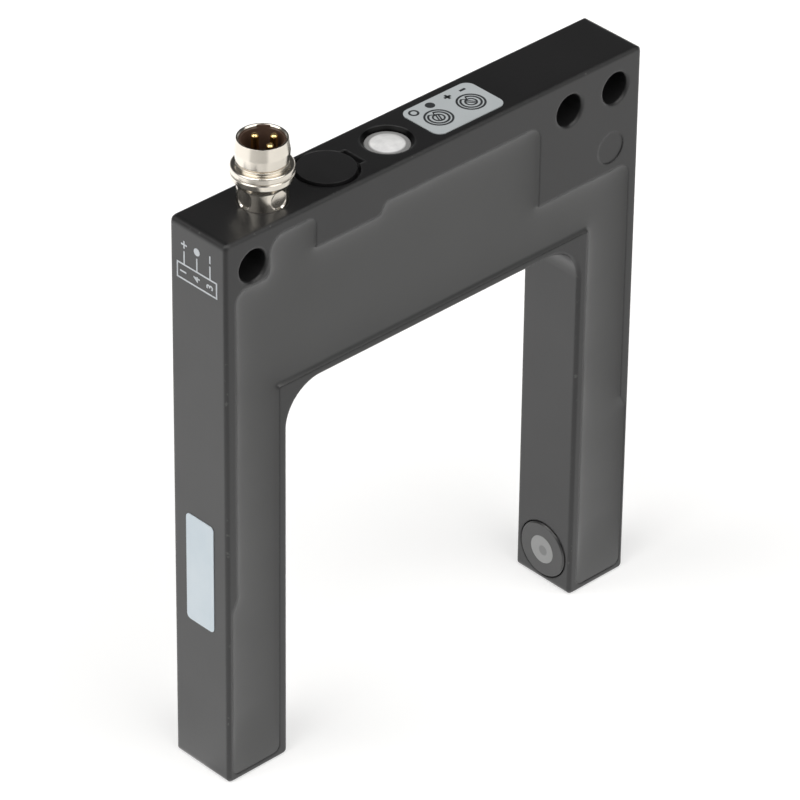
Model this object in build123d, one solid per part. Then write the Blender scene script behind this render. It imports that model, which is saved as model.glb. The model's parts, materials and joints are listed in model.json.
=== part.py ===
from build123d import *
import os
from math import cos, isclose, radians, sin

# Fork sensor: a U-shaped die-cast tray, open to the front (-Y) and filled with resin, with a plug connector,
# an indicator and a cap over two adjusters on its top edge, and an optical window in each arm.
# Millimetres. Origin midway between the arm ends at mid thickness. +X runs from the connector's arm to the
# other arm, +Z from the arm ends to the connector.

# Fork body
fork_gap = 50.0
arm_width = 10.0
fork_depth = 55.0
body_height = 80.0
body_thickness = 10.0
fork_corner_radius = 5.5
outer_corner_radius = 0.8
edge_bevel = 0.35

# Tray inside the body
back_wall = 1.2
arm_outer_wall = 1.65
chamber_outer_wall = 0.75
chamber_top = 26.0
chamber_slope = 1.9
arm_inner_wall = 1.4
bridge_wall = 1.2
end_wall = 1.0
connector_wall = 1.8
cap_block_depth = 6.2
cap_block_left_wall = 2.05
cap_block_right_wall = 0.3
cap_block_slope = 0.6
indicator_block_depth = 4.6
mounting_block_width = 17.6
channel_height = 7.4
tray_foot_radius = 1.0
tray_corner_radius = 1.8
bay_outer_radius = 2.4
bay_inner_radius = 1.3
boss_radius = 0.9
block_radius = 0.9
mounting_block_radius = 2.0

# Fixing holes and the ejector's mark
fixing_hole_diameter = 4.3
fixing_hole_inset = 4.5
fixing_hole_pitch = 8.0
fixing_rim_bevel = 0.25
corner_boss_wall = 0.5
ejector_mark_diameter = 4.4
ejector_mark_depth = 0.12
ejector_mark_inset = 5.0
ejector_mark_drop = 13.0

# Resin: how far its surface lies below the casting's front
resin_dip = 0.8

# Places along the top edge, counted on from the connector's side
connector_inset = 10.5
cap_pitch = 10.4
indicator_pitch = 10.1
label_pitch = 11.2

# Connector shell: heights above the top edge, radii from its axis
shell_body_radius = 3.1
shell_neck = 1.95
flange_radius = 3.95
flange_bottom = 3.45
flange_top = 5.25
snap_groove_radius = 3.1
snap_groove_top = 5.7
snap_bead_radius = 3.4
snap_bead_bottom = 6.8
snap_bead_top = 7.4
barrel_tip_radius = 3.15
barrel_tip = 8.8
barrel_bore_radius = 2.85
rim_bevel = 0.22
shell_length_inside = 6.0
carrier_seat_radius = 2.45
carrier_shoulder = 3.3
flat_diameter = 2.5
flat_radius = 2.88
flat_height = 1.35
keyway_width = 1.6
keyway_radius = 3.0
keyway_bottom = 6.9
key_notch_bottom = 8.1
keyway_angle = 45.0
seat_clearance = 0.02

# Contact carrier and contacts
lining_wall = 0.2
lining_drop = 0.35
key_rib_drop = 0.05
carrier_floor = 3.9
contact_radius = 0.5
contact_tip_drop = 0.2
contact_nose_bevel = 0.3
contact_tail_width = 0.5
contact_tail_drop = 3.4
contact_tail_step = 0.9

# Each contact's distance from the axis, its angle from +X, and the row down the board that its tail ends in
contacts = {
    "contact_pin_1": (1.5, 85.5, 0),
    "contact_pin_3": (1.5, -94.5, 1),
    "contact_pin_4": (1.75, -4.5, 0),
}

# Cap over the adjusters
cap_diameter = 7.5
cap_flange_diameter = 8.2
cap_flange_thickness = 0.7
cap_thickness = 1.75
cap_stands_out = 0.25
cap_clearance = 0.1
pry_notch_reach = 0.5
pry_notch_width = 3.6
pry_notch_depth = 0.9

# Trimmers under the cap
trimmer_pitch = 3.6
trimmer_width = 3.4
trimmer_height = 3.2
rotor_diameter = 2.2
rotor_height = 1.6
rotor_sink = 0.1
rotor_clearance = 0.05
rotor_slot_width = 0.45
rotor_slot_depth = 0.5
screwdriver_bore_diameter = 2.7

# Indicator
lens_diameter = 5.9
lens_sink = 0.55
lens_crown_diameter = 4.6
lens_crown_bevel = 1.2
lens_crown = 0.3
lens_hole_clearance = 0.05
lens_countersink = 0.45
lens_flange_diameter = 6.9
lens_flange_thickness = 0.8
led_width = 1.6
led_reach = 2.2
led_height = 1.1
led_pitch = 2.2

# Labels
label_thickness = 0.1
label_length = 11.4
label_width = 6.3
label_corner_radius = 1.3
sticker_length = 16.0
sticker_width = 5.0
sticker_bottom = 22.1

# Optical windows
optics_height = 5.0
bezel_diameter = 8.0
bezel_hole_clearance = 0.15
bezel_stands_out = 0.2
bezel_bevel = 0.2
bezel_tube_diameter = 7.0
bezel_tube_length = 2.0
window_diameter = 4.05
window_thickness = 0.8
light_tunnel_diameter = 3.0
optics_width = 3.2
optics_thickness = 1.2
optics_pane = 2.0
optics_pane_height = 0.15
optics_board_thickness = 0.8
optics_board_width = 7.2
optics_board_height = 7.6

# Circuit
board_front = 1.7
board_thickness = 1.0
board_margin = 1.0
board_bottom_margin = 0.7
ribbon_width = 1.9
ribbon_thickness = 0.2
ribbon_overlap = 3.1
ribbon_bottom = 2.2
package_bevel = 0.1

# Components on the board's front: width, height, thickness and the place of each, as shares of the board's
# half length from the middle and of its height from the bottom
components = {
    "controller_ic": (5.0, 5.0, 0.9, [(0.12, 0.54)]),
    "receiver_amplifier": (3.9, 3.0, 0.9, [(0.68, 0.2)]),
    "voltage_regulator": (3.0, 3.0, 1.1, [(-0.65, 0.6)]),
    "output_transistors": (2.9, 1.6, 1.0, [(-0.46, 0.64), (-0.46, 0.3)]),
    "protection_diodes": (3.6, 1.8, 1.1, [(-0.88, 0.64), (-0.88, 0.34)]),
    "tantalum_capacitors": (3.5, 2.8, 1.9, [(0.37, 0.85), (0.37, 0.24)]),
    "ceramic_capacitors": (1.0, 2.0, 0.9, [(-0.65, 0.25), (-0.06, 0.2), (0.26, 0.54), (0.83, 0.2)]),
    "chip_resistors": (1.6, 0.8, 0.45, [(-0.25, 0.68), (-0.25, 0.48), (-0.25, 0.27), (0.54, 0.2)]),
}

# Sizes and places that follow from the ones above
half_width = fork_gap / 2 + arm_width
half_gap = fork_gap / 2
back = body_thickness / 2
front = -back
tray_floor = back - back_wall
fixing_radius = fixing_hole_diameter / 2
fixing_z = body_height - fixing_hole_inset
corner_hole_x = half_width - fixing_hole_inset
fixing_x = [-corner_hole_x, corner_hole_x, corner_hole_x - fixing_hole_pitch]
boss_reach = fixing_hole_inset + fixing_radius + corner_boss_wall
connector_x = -half_width + connector_inset
cap_x = connector_x + cap_pitch
indicator_x = cap_x + indicator_pitch
label_x = indicator_x + label_pitch
cap_hole_radius = cap_flange_diameter / 2 + cap_clearance
cap_seat_z = body_height + cap_stands_out - cap_thickness
cap_block_z = body_height - cap_block_depth
cap_block_left = cap_x - cap_hole_radius - cap_block_left_wall
cap_block_right = cap_x + cap_hole_radius + cap_block_right_wall
indicator_block_z = body_height - indicator_block_depth
lens_radius = lens_diameter / 2
lens_flange_z = indicator_block_z - lens_flange_thickness
bay_top = body_height - connector_wall
mounting_block_x = half_width - mounting_block_width
bridge_floor = fork_depth + bridge_wall
mounting_block_z = bridge_floor + channel_height
arm_outer = half_width - arm_outer_wall
chamber_outer = half_width - chamber_outer_wall
arm_inner = half_gap + arm_inner_wall
shell_foot = body_height - shell_length_inside
rotor_radius = rotor_diameter / 2
rotor_bottom = cap_block_z - rotor_sink - rotor_height
window_radius = window_diameter / 2
tunnel_radius = light_tunnel_diameter / 2
tube_end = arm_inner_wall + bezel_tube_length
optics_board_depth = tube_end + optics_thickness
board_end = arm_outer - board_margin
board_bottom = bridge_floor + board_bottom_margin
board_low_top = body_height - boss_reach - board_margin
board_top = indicator_block_z - board_margin
trimmer_x = [cap_x - trimmer_pitch / 2, cap_x + trimmer_pitch / 2]
led_x = [indicator_x - led_pitch / 2, indicator_x + led_pitch / 2]

# How far a cut runs past the face it opens
overshoot = 1.0


def box_between(x0, x1, y0, y1, z0, z1):
    """A box given by its six faces."""
    middle = Pos((x0 + x1) / 2, (y0 + y1) / 2, (z0 + z1) / 2)
    return middle * Box(abs(x1 - x0), abs(y1 - y0), abs(z1 - z0))


def upright(radius, x, z0, z1, y=0.0):
    """A cylinder along Z between two heights."""
    return Pos(x, y, (z0 + z1) / 2) * Cylinder(radius, z1 - z0)


def crosswise(radius, x, z, y0, y1):
    """A cylinder along Y between two depths."""
    return Pos(x, (y0 + y1) / 2, z) * Rot(90, 0, 0) * Cylinder(radius, y1 - y0)


def turned(points):
    """A closed outline of (radius, height) points, turned about the Z axis."""
    outline = Polyline(*[(radius, 0, height) for radius, height in points], close=True)
    return revolve(Face(Wire(outline.edges())), Axis.Z)


def plate(points, y0, y1):
    """An outline of (x, z, corner radius) points, solid between two depths."""
    corners = [(x, y0, z) for x, z, radius in points]
    radii = [radius for x, z, radius in points]
    outline = FilletPolyline(*corners, radius=radii, close=True)
    return extrude(Face(Wire(outline.edges())), amount=y1 - y0, dir=(0, 1, 0))


def in_arm(side, piece):
    """A piece drawn with Z pointing into the arm from its inner face, put in the arm on that side of X."""
    return Pos(side * half_gap, 0, optics_height) * Rot(0, side * 90, 0) * piece


def tray_points():
    """The tray's outline as (x, z, corner radius), clockwise from the foot of the connector's arm."""
    boss_x = -half_width + boss_reach
    boss_z = body_height - boss_reach
    return [
        (-chamber_outer, end_wall, tray_foot_radius),
        (-chamber_outer, chamber_top, 0),
        (-arm_outer, chamber_top + chamber_slope, 0),
        (-arm_outer, boss_z, tray_corner_radius),
        (boss_x, boss_z, boss_radius),
        (boss_x, bay_top, bay_outer_radius),
        (cap_block_left, bay_top, bay_inner_radius),
        (cap_block_left, cap_block_z, 0),
        (cap_block_right, cap_block_z, block_radius),
        (cap_block_right + cap_block_slope, indicator_block_z, block_radius),
        (mounting_block_x, indicator_block_z, mounting_block_radius),
        (mounting_block_x, mounting_block_z, 0),
        (arm_outer, mounting_block_z, tray_corner_radius),
        (arm_outer, chamber_top + chamber_slope, 0),
        (chamber_outer, chamber_top, 0),
        (chamber_outer, end_wall, tray_foot_radius),
        (arm_inner, end_wall, tray_foot_radius),
        (arm_inner, bridge_floor, 0),
        (-arm_inner, bridge_floor, 0),
        (-arm_inner, end_wall, tray_foot_radius),
    ]


def make_fork():
    """The fork before the tray is cut: a U with round corners, bevelled edges and three fixing holes."""
    outline = [
        (-half_width, 0, outer_corner_radius),
        (-half_width, body_height, outer_corner_radius),
        (half_width, body_height, outer_corner_radius),
        (half_width, 0, outer_corner_radius),
        (half_gap, 0, outer_corner_radius),
        (half_gap, fork_depth, fork_corner_radius),
        (-half_gap, fork_depth, fork_corner_radius),
        (-half_gap, 0, outer_corner_radius),
    ]
    fork = plate(outline, front, back)
    faces = fork.faces().sort_by(Axis.Y)
    fork = chamfer(faces[0].edges() + faces[-1].edges(), edge_bevel)
    for x in fixing_x:
        fork -= crosswise(fixing_radius, x, fixing_z, front - overshoot, back + overshoot)
    rims = [
        edge
        for edge in fork.faces().sort_by(Axis.Y)[0].edges().filter_by(GeomType.CIRCLE)
        if isclose(edge.radius, fixing_radius)
    ]
    return chamfer(rims, fixing_rim_bevel)


def make_housing():
    """The casting: the fork with its tray, the seats along its top edge and the two window holes."""
    housing = make_fork() - plate(tray_points(), front - overshoot, tray_floor)
    above = body_height + overshoot
    housing -= upright(shell_body_radius + seat_clearance, connector_x, bay_top - bay_outer_radius, above)
    housing -= upright(cap_hole_radius, cap_x, cap_seat_z, above)
    housing -= box_between(
        cap_x,
        cap_x + cap_hole_radius + pry_notch_reach,
        -pry_notch_width / 2,
        pry_notch_width / 2,
        body_height - pry_notch_depth,
        above,
    )
    for x in trimmer_x:
        housing -= upright(screwdriver_bore_diameter / 2, x, cap_block_z - overshoot, above)
    lens_hole_radius = lens_radius + lens_hole_clearance
    housing -= upright(lens_hole_radius, indicator_x, indicator_block_z - overshoot, above)
    countersink = Cone(lens_hole_radius, lens_hole_radius + 2 * lens_countersink, 2 * lens_countersink)
    housing -= Pos(indicator_x, 0, body_height) * countersink
    window_hole = Cylinder(bezel_diameter / 2 + bezel_hole_clearance, 2 * arm_inner_wall + overshoot)
    for side in (-1, 1):
        housing -= in_arm(side, window_hole)
    mark_x = half_width - ejector_mark_inset
    mark_z = body_height - ejector_mark_drop
    housing -= crosswise(
        ejector_mark_diameter / 2, mark_x, mark_z, front - overshoot, front + ejector_mark_depth
    )
    return housing


def shell_outside():
    """The outside of the connector shell as a solid of revolution about Z, heights from the top edge."""
    return turned(
        [
            (0, -shell_length_inside),
            (shell_body_radius, -shell_length_inside),
            (shell_body_radius, shell_neck),
            (flange_radius, flange_bottom),
            (flange_radius, flange_top),
            (snap_groove_radius, flange_top),
            (snap_groove_radius, snap_groove_top),
            (snap_bead_radius, snap_bead_bottom),
            (snap_bead_radius, snap_bead_top),
            (barrel_tip_radius, barrel_tip),
            (0, barrel_tip),
        ]
    )


def make_connector_shell():
    """The plug shell: body with four flats, flange, snap groove and bead, stepped bore and notched keyway."""
    shell = shell_outside()
    shell -= turned(
        [
            (0, -shell_length_inside),
            (carrier_seat_radius, -shell_length_inside),
            (carrier_seat_radius, carrier_shoulder),
            (barrel_bore_radius, carrier_shoulder),
            (barrel_bore_radius, barrel_tip - lining_drop),
            (barrel_bore_radius + rim_bevel, barrel_tip),
            (0, barrel_tip),
        ]
    )
    spot_face = Pos(flat_radius + overshoot, 0, flat_height) * Rot(0, 90, 0)
    spot_face = spot_face * Cylinder(flat_diameter / 2, 2 * overshoot)
    for angle in (0, 90, 180, 270):
        shell -= Rot(0, 0, angle) * spot_face
    half_key = keyway_width / 2
    above = barrel_tip + overshoot
    keyway = box_between(0, keyway_radius, -half_key, half_key, keyway_bottom, above)
    keyway += box_between(0, flange_radius, -half_key, half_key, key_notch_bottom, above)
    shell -= Rot(0, 0, keyway_angle) * keyway
    return Pos(connector_x, 0, body_height) * shell


def make_contact_carrier():
    """The insert: a lining in the barrel with its key rib, and a stepped core with three contact holes."""
    lining_radius = barrel_bore_radius - seat_clearance
    core_radius = carrier_seat_radius - seat_clearance
    foot = -shell_length_inside
    lining_top = barrel_tip - lining_drop
    well_radius = lining_radius - lining_wall
    carrier = turned(
        [
            (0, foot),
            (core_radius, foot),
            (core_radius, carrier_shoulder),
            (lining_radius, carrier_shoulder),
            (lining_radius, lining_top),
            (well_radius, lining_top),
            (well_radius, carrier_floor),
            (0, carrier_floor),
        ]
    )
    half_key = keyway_width / 2 - seat_clearance
    rib_radius = keyway_radius - seat_clearance
    rib_top = barrel_tip - key_rib_drop
    rib = box_between(well_radius, rib_radius, -half_key, half_key, keyway_bottom, rib_top)
    tooth = box_between(well_radius, shell_body_radius, -half_key, half_key, key_notch_bottom, rib_top)
    carrier += Rot(0, 0, keyway_angle) * (rib + tooth)
    hole = Cylinder(contact_radius + seat_clearance, 2 * (barrel_tip + shell_length_inside))
    for distance, angle, row in contacts.values():
        carrier -= Rot(0, 0, angle) * Pos(distance, 0, 0) * hole
    return Pos(connector_x, 0, body_height) * carrier


def make_contact(distance, angle, row):
    """A blunt-nosed contact whose square tail runs down and then back to the board."""
    x = connector_x + distance * cos(radians(angle))
    y = distance * sin(radians(angle))
    tip = body_height + barrel_tip - contact_tip_drop
    pin = turned(
        [
            (0, shell_foot),
            (contact_radius, shell_foot),
            (contact_radius, tip - contact_nose_bevel),
            (contact_radius - contact_nose_bevel, tip),
            (0, tip),
        ]
    )
    pin = Pos(x, y, 0) * pin
    half_tail = contact_tail_width / 2
    tail_y = min(y, board_front - half_tail)
    tail_z = shell_foot - contact_tail_drop - row * contact_tail_step
    left = x - half_tail
    right = x + half_tail
    tail_front = tail_y - half_tail
    pin += box_between(left, right, tail_front, tail_y + half_tail, tail_z, shell_foot)
    return pin + box_between(left, right, tail_front, board_front, tail_z, tail_z + contact_tail_width)


def make_adjuster_cap():
    """The round cap, with a wider foot that holds it in its seat."""
    cap = turned(
        [
            (0, 0),
            (cap_flange_diameter / 2, 0),
            (cap_flange_diameter / 2, cap_flange_thickness),
            (cap_diameter / 2, cap_flange_thickness),
            (cap_diameter / 2, cap_thickness),
            (0, cap_thickness),
        ]
    )
    return Pos(cap_x, 0, cap_seat_z) * cap


def trimmer_block(x):
    """The outside of a trimmer, against the board and the underside of the cap block."""
    return box_between(
        x - trimmer_width / 2,
        x + trimmer_width / 2,
        board_front - trimmer_width,
        board_front,
        cap_block_z - trimmer_height,
        cap_block_z,
    )


def make_trimmer(x):
    """A trimmer's body with the round well that its rotor turns in."""
    well_floor = rotor_bottom - rotor_clearance
    return trimmer_block(x) - upright(rotor_radius + rotor_clearance, x, well_floor, body_height)


def make_rotor(x):
    """A trimmer's rotor: a disc with a slot across it."""
    top = rotor_bottom + rotor_height
    rotor = upright(rotor_radius, x, rotor_bottom, top)
    half_slot = rotor_slot_width / 2
    slot_floor = top - rotor_slot_depth
    return rotor - box_between(
        x - half_slot, x + half_slot, -rotor_diameter, rotor_diameter, slot_floor, body_height
    )


def make_indicator_lens():
    """The light guide: a crowned rod with a flange that stops it under its block."""
    crown_radius = lens_crown_diameter / 2
    lens_top = body_height - lens_sink
    lens = turned(
        [
            (0, lens_flange_z),
            (lens_flange_diameter / 2, lens_flange_z),
            (lens_flange_diameter / 2, indicator_block_z),
            (lens_radius, indicator_block_z),
            (lens_radius, lens_top),
            (crown_radius, lens_top),
            (crown_radius - lens_crown_bevel, lens_top + lens_crown),
            (0, lens_top + lens_crown),
        ]
    )
    return Pos(indicator_x, 0, 0) * lens


def make_indicator_led(x):
    """A side-looking light source on the board's front, just under the lens."""
    return box_between(
        x - led_width / 2,
        x + led_width / 2,
        board_front - led_reach,
        board_front,
        board_top - led_height,
        board_top,
    )


def make_adjuster_label():
    """The label with the two dials, beside the indicator."""
    label = box_between(
        label_x - label_length / 2,
        label_x + label_length / 2,
        -label_width / 2,
        label_width / 2,
        body_height,
        body_height + label_thickness,
    )
    return fillet(label.edges().filter_by(Axis.Z), label_corner_radius)


def make_side_label():
    """The blank sticker on the outer side of the connector's arm."""
    return box_between(
        -half_width - label_thickness,
        -half_width,
        -sticker_width / 2,
        sticker_width / 2,
        sticker_bottom,
        sticker_bottom + sticker_length,
    )


def make_bezel(side):
    """A window's holder: a bevelled disc in the arm's wall and a tube that keeps stray light out."""
    disc_radius = bezel_diameter / 2
    tube_radius = bezel_tube_diameter / 2
    seat_radius = window_radius + seat_clearance
    seat_depth = window_thickness - bezel_stands_out
    bezel = turned(
        [
            (tunnel_radius, seat_depth),
            (seat_radius, seat_depth),
            (seat_radius, -bezel_stands_out),
            (disc_radius - bezel_bevel, -bezel_stands_out),
            (disc_radius, bezel_bevel - bezel_stands_out),
            (disc_radius, arm_inner_wall),
            (tube_radius, arm_inner_wall),
            (tube_radius, tube_end),
            (tunnel_radius, tube_end),
        ]
    )
    return in_arm(side, bezel)


def make_window(side):
    """A window: a flat disc flush with its holder."""
    window = Pos(0, 0, window_thickness / 2 - bezel_stands_out) * Cylinder(window_radius, window_thickness)
    return in_arm(side, window)


def make_optics(side):
    """The light source or the photodiode: a square body with a thin pane that looks out of the window."""
    body = Box(optics_width, optics_width, optics_thickness)
    body = Pos(0, 0, tube_end + optics_thickness / 2) * body
    pane = Box(optics_pane, optics_pane, optics_pane_height)
    return in_arm(side, body + Pos(0, 0, tube_end - optics_pane_height / 2) * pane)


def make_optics_board(side):
    """The small board that stands behind a window's tube."""
    board = Box(optics_board_height, optics_board_width, optics_board_thickness)
    return in_arm(side, Pos(0, 0, optics_board_depth + optics_board_thickness / 2) * board)


def make_ribbon(side):
    """The flat lead from the small board up the arm, laid on the front of the main board."""
    near = half_gap + optics_board_depth + optics_board_thickness
    return box_between(
        side * near,
        side * (near + ribbon_width),
        board_front - ribbon_thickness,
        board_front,
        ribbon_bottom,
        board_bottom + ribbon_overlap,
    )


def make_main_board():
    """The board in the bridge, cut back under the corner boss, the cap block and the mounting block."""
    step_x = cap_block_right + cap_block_slope + board_margin
    block_x = mounting_block_x - board_margin
    block_z = mounting_block_z - board_margin
    outline = [
        (-board_end, board_bottom, 0),
        (-board_end, board_low_top, 0),
        (step_x, board_low_top, 0),
        (step_x, board_top, 0),
        (block_x, board_top, 0),
        (block_x, block_z, 0),
        (board_end, block_z, 0),
        (board_end, board_bottom, 0),
    ]
    return plate(outline, board_front, board_front + board_thickness)


def make_components(width, height, thickness, places):
    """Equal bevelled components on the board's front, one at each place."""
    package = Pos(0, board_front - thickness / 2, 0) * Box(width, thickness, height)
    package = chamfer(package.faces().sort_by(Axis.Y)[0].edges(), package_bevel)
    group = Part()
    for across, up in places:
        z = board_bottom + up * (board_low_top - board_bottom)
        group += Pos(across * board_end, 0, z) * package
    return group


def make_resin(embedded):
    """The resin: the tray's filling, less everything that stands in it."""
    resin = plate(tray_points(), front + resin_dip, tray_floor)
    for piece in embedded:
        resin -= piece
    resin -= upright(shell_body_radius + seat_clearance, connector_x, shell_foot, body_height)
    resin -= upright(lens_flange_diameter / 2 + seat_clearance, indicator_x, lens_flange_z, indicator_block_z)
    tube = Pos(0, 0, tube_end / 2) * Cylinder(bezel_tube_diameter / 2 + seat_clearance, tube_end)
    for side in (-1, 1):
        resin -= in_arm(side, tube)
    return resin


embedded = {
    "main_board": make_main_board(),
    "emitter_board": make_optics_board(-1),
    "receiver_board": make_optics_board(1),
    "emitter_ribbon": make_ribbon(-1),
    "receiver_ribbon": make_ribbon(1),
    "emitter_led": make_optics(-1),
    "receiver_diode": make_optics(1),
    "indicator_led_green": make_indicator_led(led_x[0]),
    "indicator_led_yellow": make_indicator_led(led_x[1]),
}
for name, sizes in components.items():
    embedded[name] = make_components(*sizes)
for name, (distance, angle, row) in contacts.items():
    embedded[name] = make_contact(distance, angle, row)
trimmer_blocks = [trimmer_block(x) for x in trimmer_x]

pieces = {
    "housing": make_housing(),
    "potting_compound": make_resin([*embedded.values(), *trimmer_blocks]),
    "connector_shell": make_connector_shell(),
    "contact_carrier": make_contact_carrier(),
    "adjuster_cap": make_adjuster_cap(),
    "sensitivity_trimmer": make_trimmer(trimmer_x[0]),
    "sensitivity_rotor": make_rotor(trimmer_x[0]),
    "switching_trimmer": make_trimmer(trimmer_x[1]),
    "switching_rotor": make_rotor(trimmer_x[1]),
    "indicator_lens": make_indicator_lens(),
    "adjuster_label": make_adjuster_label(),
    "side_label": make_side_label(),
    "emitter_bezel": make_bezel(-1),
    "emitter_lens": make_window(-1),
    "receiver_bezel": make_bezel(1),
    "receiver_lens": make_window(1),
}
pieces.update(embedded)

os.makedirs("parts", exist_ok=True)
for name, piece in pieces.items():
    export_step(piece, f"parts/{name}.step")
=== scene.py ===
import json
import logging
from dataclasses import dataclass, field
from enum import Enum
from functools import partial
from math import cos, radians, sin
from typing import Iterable, Optional, Sequence

import bmesh
import bpy
import numpy as np
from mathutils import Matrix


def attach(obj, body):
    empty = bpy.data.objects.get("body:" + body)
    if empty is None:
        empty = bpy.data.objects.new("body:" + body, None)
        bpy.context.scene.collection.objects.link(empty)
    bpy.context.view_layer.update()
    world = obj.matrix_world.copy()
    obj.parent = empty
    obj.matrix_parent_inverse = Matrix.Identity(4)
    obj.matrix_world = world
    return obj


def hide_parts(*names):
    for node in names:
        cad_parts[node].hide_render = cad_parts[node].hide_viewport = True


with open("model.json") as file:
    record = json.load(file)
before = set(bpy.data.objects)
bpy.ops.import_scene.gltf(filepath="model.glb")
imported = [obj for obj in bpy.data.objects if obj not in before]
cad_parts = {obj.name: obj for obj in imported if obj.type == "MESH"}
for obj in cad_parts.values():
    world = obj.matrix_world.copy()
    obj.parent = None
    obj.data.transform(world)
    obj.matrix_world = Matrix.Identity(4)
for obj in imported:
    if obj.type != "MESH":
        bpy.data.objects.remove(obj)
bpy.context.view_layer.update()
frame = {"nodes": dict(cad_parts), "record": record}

MM = 0.001
SENSOR = "sensor"

# The casting's main sizes in millimetres, as the frame has them
HALF_WIDTH = 35.0
HALF_GAP = 25.0
HALF_DEPTH = 5.0
FORK_DEPTH = 55.0
BODY_TOP = 80.0
PLUG_CENTRE = (-24.5, 0.0)
INDICATOR_CENTRE = (-4.0, 0.0)

log = logging.getLogger("fork_sensor")
Colour = tuple[float, float, float]
Pair = tuple[float, float]
Array = np.ndarray
Point = Sequence[float]
Piece = bpy.types.Object
Tree = bpy.types.NodeTree
Socket = bpy.types.NodeSocket


class Facing(Enum):
    """Which way a flat piece lies: how many places its axes (across, along, out) move on in X, Y, Z."""

    UP = 0
    ASIDE = 1


# Shapes


def unit(vectors: Array) -> Array:
    """The vectors, made one unit long."""
    return vectors / np.maximum(np.linalg.norm(vectors, axis=-1, keepdims=True), 1e-9)


def rounded(corners: Array, steps: int) -> Array:
    """Rounds a closed outline's corners.

    Each corner becomes an arc of its radius, tangent to its two sides: its centre lies on the corner's
    bisector, and it runs through equal angles from one tangent point to the other.

    Args:
        corners: The corners in order (x, y, radius).
        steps: How many parts each arc has.

    Returns:
        The outline's points, steps + 1 for each corner.
    """
    corners, radii = corners[:, :2], corners[:, 2]
    before, after = (unit(np.roll(corners, step, axis=0) - corners) for step in (1, -1))
    half = np.arccos(np.clip((before * after).sum(1), -1, 1)) / 2
    centre = corners + unit(before + after) * (radii / np.maximum(np.sin(half), 1e-6))[:, None]
    start = corners + before * (radii / np.tan(half))[:, None] - centre
    side = np.sign(before[:, 0] * after[:, 1] - before[:, 1] * after[:, 0])
    angle = np.linspace(0, 1, steps + 1)[None, :] * (-side * (np.pi - 2 * half))[:, None]
    x = start[:, 0, None] * np.cos(angle) - start[:, 1, None] * np.sin(angle)
    y = start[:, 0, None] * np.sin(angle) + start[:, 1, None] * np.cos(angle)
    return (np.stack([x, y], axis=2) + centre[:, None, :]).reshape(-1, 2)


def grid_faces(rows: int, columns: int, wrap_rows: bool, wrap_columns: bool) -> Array:
    """Numbers the four corners of each cell of a grid of points.

    Args:
        rows: How many rows it has.
        columns: How many columns it has.
        wrap_rows: Whether the last row joins the first.
        wrap_columns: Whether the last column joins the first.

    Returns:
        The four corners of each cell.
    """
    i, j = np.meshgrid(np.arange(rows - 1 + wrap_rows), np.arange(columns - 1 + wrap_columns), indexing="ij")
    i2, j2 = (i + 1) % rows, (j + 1) % columns
    cells = [i * columns + j, i2 * columns + j, i2 * columns + j2, i * columns + j2]
    return np.stack(cells, axis=-1).reshape(-1, 4)


def pinched(grid: Array) -> Array:
    """A tube's grid with its ends shut by a row of equal points at the middle of each."""
    first, last = (row.mean(axis=1, keepdims=True) * np.ones_like(row) for row in (grid[:1], grid[-1:]))
    return np.concatenate([first, grid, last])


def raised(flat: Array, heights: Array) -> Array:
    """A grid of flat points with each column's height beside them."""
    return np.concatenate([flat, np.broadcast_to(heights[None, :, None], (*flat.shape[:2], 1))], axis=2)


def around(count: int) -> Array:
    """Equal angles all round, in radians."""
    return np.linspace(0, 2 * np.pi, count, endpoint=False)


def swept(profile: Array, count: int) -> tuple[Array, Array]:
    """The radius and the height of a profile's points, repeated for each of count angles."""
    return tuple(np.broadcast_to(line, (count, len(profile))) for line in profile.T)


def turned(radius: Array, height: Array, centre: Point) -> Array:
    """Points round an upright axis, a row for each angle: x = r cos(angle), y = r sin(angle), z as it is."""
    angle = around(len(radius))[:, None]
    return np.stack([centre[0] + radius * np.cos(angle), centre[1] + radius * np.sin(angle), height], axis=-1)


def arc(centre: Point, radius: float, angles: Array) -> Array:
    """The points at a radius from a centre, at angles in radians."""
    return np.array(centre) + radius * np.stack([np.cos(angles), np.sin(angles)], axis=-1)


def smoothstep(value: Array) -> Array:
    """The curve 3t^2 - 2t^3 for t held between 0 and 1."""
    t = np.clip(value, 0.0, 1.0)
    return t * t * (3 - 2 * t)


def link(name: str, data: bpy.types.ID) -> Piece:
    """Links a new object to the scene.

    Args:
        name: Its name.
        data: Its mesh, lamp or camera.

    Returns:
        The object, at the origin.
    """
    made = bpy.data.objects.new(name, data)
    bpy.context.scene.collection.objects.link(made)
    return made


def rework(mesh: bpy.types.Mesh, merge: bool = False) -> None:
    """Turns a mesh's faces outwards.

    Args:
        mesh: The mesh.
        merge: Whether its doubles and empty faces go first.
    """
    work = bmesh.new()
    work.from_mesh(mesh)
    if merge:
        bmesh.ops.remove_doubles(work, verts=work.verts, dist=1e-7)
        bmesh.ops.dissolve_degenerate(work, edges=work.edges, dist=1e-8)
    bmesh.ops.recalc_face_normals(work, faces=work.faces)
    if merge and work.calc_volume(signed=True) < 0:
        bmesh.ops.reverse_faces(work, faces=work.faces)
    work.to_mesh(mesh)
    work.free()


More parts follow.
